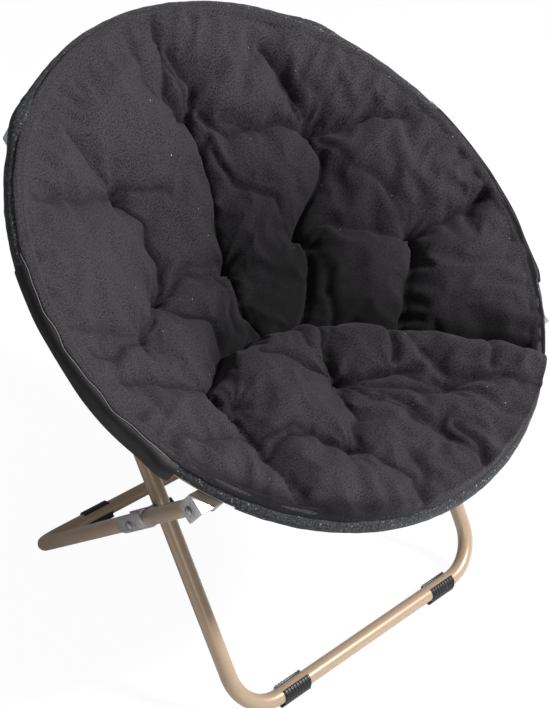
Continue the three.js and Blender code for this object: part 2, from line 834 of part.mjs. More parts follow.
// The bowl is cut across at the ring's hinge line, where it folds. The front leg's tubes and their
// brackets lie under it, and the padding gives way over them.
function quiltHalf(isBack) {
  const size = 2 * ring.radius;
  const keepOut = new THREE.BoxGeometry(2 * size, size, 2 * size).translate(
    0,
    isBack ? hingeBack - size / 2 + clearance / 2 : hingeBack + size / 2 - clearance / 2,
    0,
  );
  const overLegs = sides.map((side) =>
    bar(
      frontCorner(side).applyMatrix4(chairToRing),
      pointPast(backPivot(side), frontCorner(side), frontLeg.endPastPivot + overrun).applyMatrix4(
        chairToRing,
      ),
      frontLeg.tubeRadius + quilt.legRoom,
    ),
  );
  const overBrackets = sides.flatMap((side) =>
    [backPin(side), frontPin(side)].map((pin) => underPadding(side, pin)),
  );
  return cut(quiltSolid(), keepOut, ...overLegs, ...overBrackets);
}

// Assembly

const chair = new THREE.Group();
const frame = new THREE.Group();
const ringFrame = new THREE.Group();
ringFrame.applyMatrix4(ringToChair);

frame.add(named("front_leg_tube", frontLegTube(), paint));
frame.add(named("rear_leg_lower_tube", rearLegLowerTube(), paint));
for (const side of sides) {
  const name = sideName(side);
  frame.add(
    named(`rear_leg_upper_tube_${name}`, rearLegUpperTube(side), paint),
    named(`scissor_bracket_${name}`, scissorChannel(side), zinc),
    named(`scissor_rivet_${name}`, scissorRivet(side), steel),
    named(`scissor_bush_${name}`, scissorBush(side), plastic),
    named(`scissor_stud_${name}`, scissorStud(side), steel),
    named(`scissor_nut_${name}`, scissorNut(side), steel),
  );
  const frontFoot = new THREE.Vector3(
    side * footClip.front_share * frontLeg.barHalfWidth,
    -frontLeg.barAhead,
    frontBarHeight,
  );
  const rearFoot = rearBarMiddle.clone().setX(side * footClip.rear_share * rearBarHalfWidth);
  frame.add(
    named(
      `front_foot_clip_${name}`,
      footClipGeometry(frontLeg, frontFoot, footClip.frontOpeningTurn),
      plastic,
    ),
    named(
      `rear_foot_clip_${name}`,
      footClipGeometry(rearLeg, rearFoot, footClip.rearOpeningTurn),
      plastic,
    ),
  );
  const back = ringClevis(side, backPin(side));
  const front = ringClevis(side, frontPin(side));
  ringFrame.add(
    named(`back_pivot_bracket_${name}`, back.bracket, zinc),
    named(`back_pivot_rivet_${name}`, back.rivet, steel),
    named(`front_pivot_bracket_${name}`, front.bracket, zinc),
    named(`front_pivot_rivet_${name}`, front.rivet, steel),
    named(`ring_hinge_plate_back_${name}`, hingePlate(side, true), zinc),
    named(`ring_hinge_plate_front_${name}`, hingePlate(side, false), zinc),
    named(`ring_hinge_rivet_${name}`, hingeRivet(side), steel),
  );
}
ringFrame.add(
  named("ring_back_tube", ringTube(true), paint),
  named("ring_front_tube", ringTube(false), paint),
  named("back_quilt", quiltHalf(true), canvas),
  named("seat_quilt", quiltHalf(false), canvas),
);
for (const [name, geometry] of Object.entries(sleeves())) {
  ringFrame.add(named(name, geometry, webbing));
}
frame.add(ringFrame);
chair.add(frame);

// The chair's origin is on the floor, under the middle of its outline.
frame.updateMatrixWorld(true);
const box = new THREE.Box3().setFromObject(frame, true);
frame.position.y = -(box.min.y + box.max.y) / 2;
frame.position.z = -box.min.z;

export default chair;
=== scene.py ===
import json
import math

import bpy
import numpy as np
from mathutils import Matrix, Vector, noise

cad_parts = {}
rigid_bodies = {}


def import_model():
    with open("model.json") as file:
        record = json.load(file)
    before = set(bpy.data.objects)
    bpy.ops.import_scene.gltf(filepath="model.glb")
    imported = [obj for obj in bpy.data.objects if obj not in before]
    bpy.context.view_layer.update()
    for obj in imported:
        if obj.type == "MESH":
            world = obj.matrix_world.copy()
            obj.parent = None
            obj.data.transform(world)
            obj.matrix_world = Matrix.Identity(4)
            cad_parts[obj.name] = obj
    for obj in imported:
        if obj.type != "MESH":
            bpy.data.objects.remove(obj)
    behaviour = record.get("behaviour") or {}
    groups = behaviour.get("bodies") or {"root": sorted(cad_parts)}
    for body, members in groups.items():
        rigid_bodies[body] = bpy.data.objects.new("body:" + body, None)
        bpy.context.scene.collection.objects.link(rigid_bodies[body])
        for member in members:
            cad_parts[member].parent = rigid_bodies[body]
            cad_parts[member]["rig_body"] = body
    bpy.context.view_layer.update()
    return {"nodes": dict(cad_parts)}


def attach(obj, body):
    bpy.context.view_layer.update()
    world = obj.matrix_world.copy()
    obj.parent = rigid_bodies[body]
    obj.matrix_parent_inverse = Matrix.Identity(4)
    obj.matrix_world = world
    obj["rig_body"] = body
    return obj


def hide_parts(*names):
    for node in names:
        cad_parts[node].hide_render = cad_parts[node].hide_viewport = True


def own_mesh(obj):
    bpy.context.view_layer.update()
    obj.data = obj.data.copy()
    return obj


for old in list(bpy.data.objects):
    bpy.data.objects.remove(old)

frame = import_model()
nodes = frame["nodes"]

# The ring's own frame: across, towards the back and square to the ring, in metres.
TILT, RING_HEIGHT = math.radians(36.8), 0.5717
RING = Matrix.Translation((0, 0, RING_HEIGHT)) @ Matrix.Rotation(TILT, 4, "X")
RING_UP = RING.to_3x3() @ Vector((0, 0, 1))
RADIUS = 0.385
HINGE_BACK = -0.13013
SIDES = (("left", -1), ("right", 1))
PI = math.pi


def on_ring(across, back, above=0.0):
    return RING @ Vector((across, back, above))


def half_width_at(back):
    return math.sqrt(RADIUS**2 - back**2)


def linked(name, data):
    obj = bpy.data.objects.new(name, data)
    bpy.context.scene.collection.objects.link(obj)
    return obj


# Materials


def linear(red, green, blue):
    out = []
    for value in (red, green, blue):
        c = value / 255
        out.append(c / 12.92 if c <= 0.04045 else ((c + 0.055) / 1.055) ** 2.4)
    return (*out, 1.0)


class Shader:
    """A node tree with short calls: values are numbers, colours or other nodes' sockets."""

    def __init__(self, name):
        self.material = bpy.data.materials.new(name)
        self.material.use_nodes = True
        self.tree = self.material.node_tree
        self.surface = self.tree.nodes["Principled BSDF"]
        self.coords = self.tree.nodes.new("ShaderNodeTexCoord")

    def put(self, socket, value):
        if isinstance(value, bpy.types.NodeSocket):
            self.tree.links.new(value, socket)
        else:
            socket.default_value = value

    def node(self, kind, **inputs):
        made = self.tree.nodes.new(kind)
        for key, value in inputs.items():
            self.put(made.inputs[key.replace("_", " ")], value)
        return made

    def maths(self, operation, *values, clamp=False):
        made = self.tree.nodes.new("ShaderNodeMath")
        made.operation = operation
        made.use_clamp = clamp
        for i, value in enumerate(values):
            self.put(made.inputs[i], value)
        return made.outputs[0]

    def attribute(self, name):
        node = self.tree.nodes.new("ShaderNodeAttribute")
        node.attribute_name = name
        return node.outputs["Fac"]

    def noise(self, scale, detail=4.0, rough=0.55, where=None):
        made = self.node("ShaderNodeTexNoise", Scale=scale, Detail=detail, Roughness=rough)
        self.put(made.inputs["Vector"], where or self.coords.outputs["Object"])
        return made.outputs["Fac"]

    def span(self, value, low, high, start, end):
        made = self.tree.nodes.new("ShaderNodeMapRange")
        sockets = ("Value", "From Min", "From Max", "To Min", "To Max")
        for key, v in zip(sockets, (value, low, high, start, end)):
            self.put(made.inputs[key], v)
        return made.outputs[0]

    def mix(self, share, a, b):
        """A mix of two colours. The node has sockets for other kinds too, so these go by number."""
        made = self.tree.nodes.new("ShaderNodeMix")
        made.data_type = "RGBA"
        self.put(made.inputs[0], share)
        self.put(made.inputs[6], a)
        self.put(made.inputs[7], b)
        return made.outputs[2]

    def bump(self, height, strength, distance, under=None):
        made = self.node("ShaderNodeBump", Strength=strength, Distance=distance, Height=height)
        if under is not None:
            self.put(made.inputs["Normal"], under)
        return made.outputs["Normal"]

    def finish(self, **inputs):
        for key, value in inputs.items():
            self.put(self.surface.inputs[key.replace("_", " ")], value)
        return self.material


def powder_coat():
    s = Shader("powder_coat")
    patch = s.noise(14.0, 3.0)
    grain = s.noise(1500.0, 2.0)
    rub = s.span(s.noise(160.0, 6.0, 0.7), 0.66, 0.74, 0.0, 1.0)
    body = s.mix(patch, linear(186, 163, 138), linear(176, 152, 127))
    return s.finish(
        Base_Color=s.mix(s.maths("MULTIPLY", rub, 0.25), body, linear(150, 128, 106)),
        Metallic=0.15,
        Roughness=s.span(patch, 0.3, 0.7, 0.3, 0.4),
        Coat_Weight=0.3,
        Coat_Roughness=0.18,
        Normal=s.bump(grain, 0.12, 0.0004),
    )


def galvanised():
    s = Shader("galvanised")
    cells = s.node("ShaderNodeTexVoronoi", Scale=260.0)
    s.put(cells.inputs["Vector"], s.coords.outputs["Object"])
    spangle = s.maths("ADD", s.maths("MULTIPLY", cells.outputs["Distance"], 0.5), s.noise(90.0))
    scuff = s.noise(700.0, 5.0, 0.7)
    return s.finish(
        Base_Color=s.mix(spangle, linear(222, 222, 224), linear(184, 185, 189)),
        Metallic=0.85,
        Roughness=s.span(scuff, 0.3, 0.7, 0.28, 0.5),
        Normal=s.bump(scuff, 0.15, 0.0003),
    )


def rivet_steel():
    s = Shader("rivet_steel")
    scuff = s.noise(500.0, 4.0, 0.6)
    return s.finish(
        Base_Color=s.mix(scuff, linear(190, 190, 192), linear(140, 140, 144)),
        Metallic=0.95,
        Roughness=s.span(scuff, 0.3, 0.7, 0.2, 0.36),
        Normal=s.bump(scuff, 0.1, 0.0002),
    )


def black_plastic():
    s = Shader("black_plastic")
    grain = s.noise(900.0, 3.0)
    scuff = s.span(s.noise(60.0, 6.0, 0.7), 0.62, 0.8, 0.0, 1.0)
    return s.finish(
        Base_Color=s.mix(scuff, linear(26, 27, 31), linear(62, 62, 66)),
        Roughness=s.span(grain, 0.3, 0.7, 0.34, 0.48),
        Normal=s.bump(grain, 0.15, 0.0003),
    )


def specks(s, where, scale, kept, size):
    """1 inside small scattered dots, 0 elsewhere."""
    cells = s.node("ShaderNodeTexVoronoi", Scale=scale)
    s.put(cells.inputs["Vector"], where)
    lot = s.maths("FRACT", s.maths("MULTIPLY", cells.outputs["Color"], 7.31))
    chosen = s.maths("GREATER_THAN", lot, 1 - kept)
    dot = s.maths("LESS_THAN", cells.outputs["Distance"], size)
    return s.maths("MULTIPLY", chosen, dot)


def twill():
    s = Shader("charcoal_twill")
    uv = s.node("ShaderNodeUVMap")
    uv.uv_map = "cloth"
    where = uv.outputs["UV"]
    split = s.node("ShaderNodeSeparateXYZ")
    s.put(split.inputs[0], where)
    across, along = split.outputs[0], split.outputs[1]
    line_width, weft_width = 0.003, 0.0019
    slant = s.maths("ADD", across, s.maths("MULTIPLY", along, 0.8))
    lines = s.maths("SINE", s.maths("MULTIPLY", slant, 2 * PI / line_width))
    weft = s.maths("SINE", s.maths("MULTIPLY", along, 2 * PI / weft_width))
    weave = s.maths("ADD", s.maths("MULTIPLY", lines, 0.7), s.maths("MULTIPLY", weft, 0.3))
    slub = s.noise(400.0, 3.0, 0.9, where)
    patch = s.noise(5.0, 4.0, 0.6, where)
    large, small = specks(s, where, 42.0, 0.16, 0.035), specks(s, where, 90.0, 0.1, 0.05)
    lint = s.maths("MAXIMUM", large, small)
    yarn = s.mix(s.span(weave, -1.0, 1.0, 0.0, 1.0), linear(58, 55, 58), linear(80, 77, 81))
    faded = s.mix(s.span(patch, 0.35, 0.65, 0.0, 0.35), yarn, linear(66, 63, 65))
    tone = s.mix(s.span(slub, 0.44, 0.58, 0.0, 0.85), faded, linear(22, 20, 22))
    # Painted shade: the yarn colour is darkened towards near black by the shade stored on the quilt's
    # points, deep in the bowl, in the creases and along the rims.
    shaded = s.mix(s.attribute("painted_shade"), tone, linear(12, 11, 12))
    low = s.bump(slub, 0.5, 0.0009)
    return s.finish(
        Base_Color=s.mix(lint, shaded, linear(190, 188, 186)),
        Roughness=0.95,
        Specular_IOR_Level=0.12,
        Sheen_Weight=0.1,
        Sheen_Roughness=0.5,
        Sheen_Tint=linear(190, 182, 190),
        Normal=s.bump(weave, 0.2, 0.0002, low),
    )


def mottled_hem():
    s = Shader("mottled_hem")
    where = s.coords.outputs["Object"]
    fleck = s.noise(420.0, 5.0, 0.75)
    weave = s.noise(1400.0, 2.0)
    base = s.mix(s.span(fleck, 0.42, 0.66, 0.0, 1.0), linear(22, 23, 26), linear(84, 88, 92))
    lint = specks(s, where, 230.0, 0.4, 0.22)
    return s.finish(
        Base_Color=s.mix(s.maths("MULTIPLY", lint, 0.7), base, linear(150, 154, 156)),
        Roughness=0.9,
        Specular_IOR_Level=0.25,
        Sheen_Weight=0.1,
        Normal=s.bump(weave, 0.4, 0.0004, s.bump(fleck, 0.4, 0.0008)),
    )


def black_tape():
    s = Shader("black_tape")
    ribs = s.node("ShaderNodeTexWave", Scale=700.0, Distortion=0.6, Detail=2.0)
    s.put(ribs.inputs["Vector"], s.coords.outputs["Object"])
    patch = s.noise(30.0, 4.0)
    return s.finish(
        Base_Color=s.mix(patch, linear(12, 12, 14), linear(24, 23, 25)),
        Roughness=s.span(patch, 0.3, 0.7, 0.5, 0.66),
        Specular_IOR_Level=0.4,
        Normal=s.bump(ribs.outputs["Fac"], 0.2, 0.0003),
    )


def thread():
    s = Shader("grey_thread")
    ply = s.noise(2400.0, 2.0)
    return s.finish(
        Base_Color=s.mix(ply, linear(150, 150, 148), linear(104, 104, 104)),
        Roughness=0.8,
        Normal=s.bump(ply, 0.4, 0.0002),
    )


PAINT = powder_coat()
ZINC = galvanised()
STEEL = rivet_steel()
PLASTIC = black_plastic()
TWILL = twill()
HEM_CLOTH = mottled_hem()
TAPE = black_tape()
THREAD = thread()


def settle(obj, name, material, body, stands_for=()):
    """Gives a finished piece its name, finish and place in the frame."""
    obj.name = name
    obj.data.name = name
    obj.data.materials.clear()
    obj.data.materials.append(material)
    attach(obj, body)
    if stands_for:
        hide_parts(*stands_for)
    return obj


def alone(obj):
    bpy.ops.object.select_all(action="DESELECT")
    obj.select_set(True)
    bpy.context.view_layer.objects.active = obj


def edit(obj):
    alone(obj)
    bpy.ops.object.mode_set(mode="EDIT")
    bpy.ops.mesh.select_all(action="SELECT")


def done():
    bpy.ops.object.mode_set(mode="OBJECT")


# Tubes


def start_ring(centre, direction, radius, count=36):
    bpy.ops.object.select_all(action="DESELECT")
    turn = Vector(direction).to_track_quat("Z", "Y").to_euler()
    bpy.ops.mesh.primitive_circle_add(vertices=count, radius=radius, location=centre, rotation=turn)
    obj = bpy.context.object
    bpy.ops.object.transform_apply(location=True, rotation=True, scale=True)
    edit(obj)
    return obj


def push(shift):
    bpy.ops.mesh.extrude_region_move(TRANSFORM_OT_translate={"value": tuple(shift)})


def give_wall(obj, wall):
    bpy.ops.mesh.select_all(action="SELECT")
    bpy.ops.mesh.normals_make_consistent(inside=False)
    done()
    skin = obj.modifiers.new("wall", "SOLIDIFY")
    skin.thickness, skin.offset, skin.use_even_offset = wall, -1, True
    bpy.ops.object.modifier_apply(modifier=skin.name)
    bevel = obj.modifiers.new("edge", "BEVEL")
    bevel.width, bevel.segments, bevel.limit_method = 0.0003, 2, "ANGLE"
    bevel.angle_limit = math.radians(50)
    bpy.ops.object.modifier_apply(modifier=bevel.name)
    bpy.ops.object.shade_smooth_by_angle(angle=math.radians(40))
    return obj


def bent_tube(corners, bend, radius, wall):
    """A tube through the corners, each rounded to the bend radius."""
    corners = [Vector(c) for c in corners]
    heading = (corners[1] - corners[0]).normalized()
    obj = start_ring(corners[0], heading, radius)
    at = corners[0]
    for i in range(1, len(corners) - 1):
        leaving = (corners[i + 1] - corners[i]).normalized()
        turn = heading.angle(leaving)
        setback = bend * math.tan(turn / 2)
        axis = heading.cross(leaving).normalized()
        begin = corners[i] - heading * setback
        push(begin - at)
        centre = begin + axis.cross(heading) * bend
        bpy.ops.mesh.spin(steps=14, angle=-turn, center=centre, axis=axis)
        at = corners[i] + leaving * setback
        heading = leaving
    push(corners[-1] - at)
    return give_wall(obj, wall)


def arc_tube(start, end, radius, wall):
    """Part of the ring between two angles, with 0 on the right and 90 degrees at the back."""
    centre = on_ring(RADIUS * math.cos(start), RADIUS * math.sin(start))
    along = RING.to_3x3() @ Vector((-math.sin(start), math.cos(start), 0))
    obj = start_ring(centre, along, radius)
    steps = round(abs(end - start) / math.radians(2.5))
    bpy.ops.mesh.spin(steps=steps, angle=start - end, center=RING.translation, axis=RING_UP)
    return give_wall(obj, wall)


def past(end, origin, distance):
    return end + (end - origin).normalized() * distance


def pins(back, beyond, above):
    """The pins of one leg in the ring's frame: how far back, beyond the ring's side and above it."""
    return {s: on_ring(s * (half_width_at(back) + beyond), back, above) for _, s in SIDES}


def corners_of(bar):
    return {s: Vector((s * bar[0], *bar[1:])) for _, s in SIDES}


# The tubes' radii, bends and wall. A leg's bar is given by its right corner, before it's rounded.
FRONT_TUBE, REAR_TUBE, RING_TUBE, WALL = 0.0115, 0.011, 0.011, 0.0015
FRONT_BEND, REAR_BEND, STRAIGHT = 0.064, 0.056, 0
FRONT_BAR = (0.2468, -0.1852, 0.0149)
REAR_BAR = (0.23521, 0.2943, 0.0144)
BACK_PIN_AT = 0.743 * RADIUS
FRONT_PIN_AT = -0.605 * RADIUS
front_corner, rear_corner = corners_of(FRONT_BAR), corners_of(REAR_BAR)
back_pin = pins(BACK_PIN_AT, -0.0075, -0.04)
front_pin = pins(FRONT_PIN_AT, 0.0125, -0.032)

# How far the tubes run past their pins, where the channel's two tubes end, and the gap at the hinges.
PAST_BACK_PIN, PAST_FRONT_PIN = 0.011, 0.014
LOWER_END, UPPER_START = 0.03, 0.0433
HINGE_GAP = 0.037


def rear_at(side, distance):
    """A point on the rear leg, from its scissor pivot towards the ring."""
    a, b = rear_corner[side], front_pin[side]
    c, d = front_corner[side], back_pin[side]
    p, q, r = b - a, d - c, c - a
    share = (r.y * q.z - r.z * q.y) / (p.y * q.z - p.z * q.y)
    return a + p * share + p.normalized() * distance


front_leg = bent_tube(
    [
        past(back_pin[-1], front_corner[-1], PAST_BACK_PIN),
        front_corner[-1],
        front_corner[1],
        past(back_pin[1], front_corner[1], PAST_BACK_PIN),
    ],
    FRONT_BEND,
    FRONT_TUBE,
    WALL,
)
settle(front_leg, "front_leg_bent_tube", PAINT, "front_leg", ["front_leg_tube"])

rear_lower = bent_tube(
    [rear_at(-1, LOWER_END), rear_corner[-1], rear_corner[1], rear_at(1, LOWER_END)],
    REAR_BEND,
    REAR_TUBE,
    WALL,
)
settle(rear_lower, "rear_leg_bent_tube", PAINT, "rear_leg", ["rear_leg_lower_tube"])

for word, side in SIDES:
    ends = [rear_at(side, UPPER_START), past(front_pin[side], rear_corner[side], PAST_FRONT_PIN)]
    upper = bent_tube(ends, STRAIGHT, REAR_TUBE, WALL)
    node = f"rear_leg_upper_tube_{word}"
    settle(upper, f"rear_leg_top_tube_{word}", PAINT, "rear_leg", [node])

back_end = math.asin((HINGE_BACK + HINGE_GAP) / RADIUS)
back_arc = arc_tube(back_end, PI - back_end, RING_TUBE, WALL)
settle(back_arc, "ring_back_arc", PAINT, "ring_back", ["ring_back_tube"])
front_end = math.asin((HINGE_BACK - HINGE_GAP) / RADIUS)
front_arc = arc_tube(PI - front_end, 2 * PI + front_end, RING_TUBE, WALL)
settle(front_arc, "ring_front_arc", PAINT, "ring_front", ["ring_front_tube"])


# Small metal and plastic pieces: the CAD form with worn edges and a smooth surface


def machined(node, name, material, slot, bevel, angle=32.0, segments=2):
    body = nodes[node]["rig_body"]
    obj = linked(name, nodes[node].data.copy())
    edit(obj)
    bpy.ops.mesh.remove_doubles(threshold=0.00002)
    bpy.ops.mesh.dissolve_limited(angle_limit=math.radians(1))
    bpy.ops.mesh.normals_make_consistent(inside=False)
    done()
    mod = obj.modifiers.new("edge", "BEVEL")
    mod.width, mod.segments, mod.limit_method = bevel, segments, "ANGLE"
    mod.angle_limit = math.radians(angle)
    mod.use_clamp_overlap = True
    bpy.ops.object.modifier_apply(modifier=mod.name)
    bpy.ops.object.shade_smooth_by_angle(angle=math.radians(48))
    return settle(obj, name, material, body, [node])


# Material and slot with the worn edge: its width, and for rounded heads the angle it starts at and
# its number of steps.
PLATE = (ZINC, "galvanised", 0.0005)
CHANNEL = (ZINC, "galvanised", 0.0004)
MOULDED = (PLASTIC, "black_plastic", 0.0004)
HEAD = (STEEL, "rivet_steel", 0.0014, 50, 4)
BOLT = (STEEL, "rivet_steel", 0.0006, 50, 3)
NUT = (STEEL, "rivet_steel", 0.0004)

for word, _ in SIDES:
    for place, leg in (("back", "rear"), ("front", "front")):
        machined(f"{place}_pivot_bracket_{word}", f"{place}_clevis_{word}", *PLATE)
        machined(f"{place}_pivot_rivet_{word}", f"{place}_clevis_rivet_{word}", *HEAD)
        machined(f"ring_hinge_plate_{place}_{word}", f"hinge_plate_{place}_{word}", *PLATE)
        machined(f"{leg}_foot_clip_{word}", f"{leg}_foot_{word}", *MOULDED)
    machined(f"ring_hinge_rivet_{word}", f"hinge_rivet_{word}", *HEAD)
    machined(f"scissor_bracket_{word}", f"scissor_channel_{word}", *CHANNEL)
    machined(f"scissor_rivet_{word}", f"scissor_rivet_head_{word}", *HEAD)
    machined(f"scissor_bush_{word}", f"scissor_spacer_{word}", *MOULDED)
    machined(f"scissor_stud_{word}", f"scissor_bolt_{word}", *BOLT)
    machined(f"scissor_nut_{word}", f"scissor_hex_nut_{word}", *NUT)


# The quilted bowl, in millimetres in the ring's frame: x is across it and s towards the back

RING_MM, HINGE_MM = RADIUS * 1000, HINGE_BACK * 1000
QUILT_RADIUS = 369.5
BOWL_EDGE, BOWL_DEPTH, BOWL_POWER = 5, 151, 1.6

# Each tuft is its place and strength, and each valley or shorter fold its strength and its line.
TUFTS = [
    (20, 265, 1.0), (-150, 185, 0.8), (210, 180, 1.0), (130, 50, 1.0), (0, 55, 1.0), (-150, 45, 0.9),
    (270, -30, 1.0), (-230, -10, 0.6), (5, -170, 1.0), (115, -260, 0.7), (-80, -265, 0.8),
    (-170, -140, 0.5), (340, -45, 0.4),
]
VALLEYS = [
    (0.8, [(5, 380), (5, 295), (20, 265)]),
    (0.9, [(22, 340), (50, 290), (30, 260)]),
    (0.3, [(-50, 370), (-35, 310), (5, 275)]),
    (1.2, [(25, 260), (32, 215), (25, 140), (5, 60)]),
    (1.2, [(210, 175), (200, 125), (175, 90), (130, 50)]),
    (0.8, [(-145, 180), (-115, 145), (-120, 85), (-145, 45)]),
    (0.5, [(170, 300), (185, 255), (198, 195)]),
    (0.8, [(210, 180), (280, 150), (325, 125)]),
    (0.8, [(50, 255), (85, 215), (175, 200), (210, 180)]),
    (0.9, [(135, 40), (100, -25), (55, -75)]),
    (0.5, [(130, 50), (175, 40), (265, -30)]),
    (1.2, [(270, -30), (210, -100), (155, -150)]),
    (0.9, [(270, -35), (330, -35), (380, -45)]),
    (0.9, [(5, 50), (-10, -15), (-8, -60)]),
    (0.5, [(-135, 50), (-80, 60), (-5, 55)]),
    (0.6, [(-150, 35), (-90, -5), (-100, -65)]),
    (0.4, [(-150, 40), (-200, 15), (-230, -10)]),
    (0.3, [(-150, 190), (-190, 240), (-215, 290)]),
    (0.4, [(-150, 185), (-215, 180), (-300, 190)]),
    (0.3, [(-230, -10), (-290, 10), (-360, 20)]),
    (0.6, [(50, -100), (5, -165)]),
    (0.8, [(0, -175), (-30, -235), (-75, -265)]),
    (0.7, [(10, -175), (75, -200), (115, -260)]),
    (0.5, [(130, -150), (120, -255)]),
    (0.5, [(10, -180), (35, -255), (55, -370)]),
    (0.7, [(-80, -260), (-115, -220), (-150, -210), (-190, -220)]),
    (0.6, [(-75, -270), (-50, -335), (-70, -375)]),
    (0.6, [(115, -260), (165, -270), (195, -320)]),
    (0.5, [(-180, -100), (-250, -80), (-330, -60)]),
    (0.4, [(-200, -190), (-260, -170), (-320, -150)]),
]
FOLDS = [
    (0.6, [(220, 165), (230, 100), (255, 50), (265, -5)]),
    (0.7, [(50, 205), (60, 150), (100, 110), (120, 60)]),
    (0.6, [(335, -50), (355, -40), (375, -35)]),
    (0.5, [(275, -10), (270, 30), (245, 60)]),
    (0.5, [(-160, 40), (-210, 15), (-245, -20)]),
    (0.5, [(-355, -15), (-315, -30), (-240, -20)]),
    (0.9, [(70, -310), (70, -335), (50, -370)]),
    (0.5, [(-15, -310), (-40, -345), (-75, -375)]),
    (0.6, [(-195, -260), (-205, -285), (-225, -310)]),
    (1.0, [(10, -175), (55, -190), (95, -215)]),
    (0.8, [(10, -180), (50, -215), (105, -255)]),
    (0.5, [(120, -250), (160, -275), (205, -310)]),
    (0.6, [(35, -210), (45, -260), (50, -325)]),
    (0.8, [(5, 340), (30, 305), (30, 275)]),
    (0.4, [(-45, 375), (-35, 345)]),
    (1.0, [(175, 295), (195, 245), (210, 200)]),
    (0.6, [(215, 245), (230, 210), (225, 180)]),
    (0.9, [(135, 40), (115, -5), (65, -60)]),
    (0.9, [(140, 30), (120, -35), (95, -90)]),
    (0.9, [(0, 50), (-5, 15), (-15, -35)]),
    (0.8, [(-35, 45), (-35, 10), (-60, -35)]),
    (0.6, [(-190, -200), (-135, -200), (-115, -220), (-85, -260)]),
    (0.6, [(195, 190), (160, 200), (110, 210), (80, 240)]),
    (0.8, [(220, 175), (260, 155), (285, 150)]),
    (0.5, [(-150, 190), (-95, 180), (-55, 165)]),
    (0.5, [(-15, 70), (-70, 75), (-145, 40)]),
    (1.2, [(38, -88), (26, -125), (8, -160)]),
    (1.2, [(118, -140), (101, -166), (81, -184)]),
    (0.9, [(214, -226), (195, -245), (172, -262)]),
    (0.8, [(-75, -86), (-42, -117), (-5, -160)]),
    (0.7, [(12, -76), (-3, -110)]),
]

# The seat's crest, and the line between the seat and the roll at its left.
CREASE = [
    (-178, -112), (-140, -84), (-95, -68), (-30, -62), (30, -65),
    (100, -105), (150, -155), (220, -225), (252, -290),
]
BOLSTER = [(-178, -112), (-182, -145), (-188, -185), (-200, -250), (-225, -310)]

# Where the hinge covers end, and the radii of the hem and of the bowl's cloth that lies over it.
COVER_FROM, COVER_TO = 106.0, -185.0
HEM, OVER_HEM = 13.0, 14.4


def to_line(x, s, points):
    """Distance from each (x, s) to a broken line."""
    best = np.full(x.shape, 1e9)
    for (ax, ay), (bx, by) in zip(points, points[1:]):
        dx, dy = bx - ax, by - ay
        t = np.clip(((x - ax) * dx + (s - ay) * dy) / (dx * dx + dy * dy), 0, 1)
        best = np.minimum(best, np.hypot(x - ax - t * dx, s - ay - t * dy))
    return best


def ramp(value, low, high):
    t = np.clip((value - low) / (high - low), 0, 1)
    return t * t * (3 - 2 * t)


def field(x, s, size, seed):
    """Smooth noise from -1 to 1 with features of the given size."""
    flat = [
        noise.noise(Vector((a / size, b / size, seed)), noise_basis="PERLIN_ORIGINAL")
        for a, b in zip(x.ravel(), s.ravel())
    ]
    return 2 * np.array(flat).reshape(x.shape)


def wrapped(angle):
    return np.mod(angle + PI, 2 * PI) - PI


def edge_turn(angle):
    """Where the cloth's edge lies on the round hem, as an angle from its outer side over its top."""
    s = RING_MM * np.sin(angle)
    beside = ramp(s, COVER_TO - 6, COVER_TO + 6) * (1 - ramp(s, COVER_FROM - 20, COVER_FROM + 15))
    across = np.cos(angle)
    wave = 3.5 * np.sin(angle * 31) + 2.5 * np.sin(angle * 53 + 1)
    front_right = np.exp(-(((wrapped(angle) + 0.9) / 0.5) ** 2))
    steady = 88 + 26 * across - beside * (4 + 16 * across) - 38 * front_right
    return np.radians(steady + wave * (0.5 + beside))


def rim_at(angle):
    return RING_MM + OVER_HEM * np.cos(edge_turn(angle))


def rim_height(angle):
    return OVER_HEM * np.sin(edge_turn(angle))


def bowl(rho):
    """Share of the way out from the middle, and height of the plain bowl there."""
    share = np.minimum(rho / QUILT_RADIUS, 1.02)
    return share, BOWL_EDGE - BOWL_DEPTH * (1 - share**BOWL_POWER)


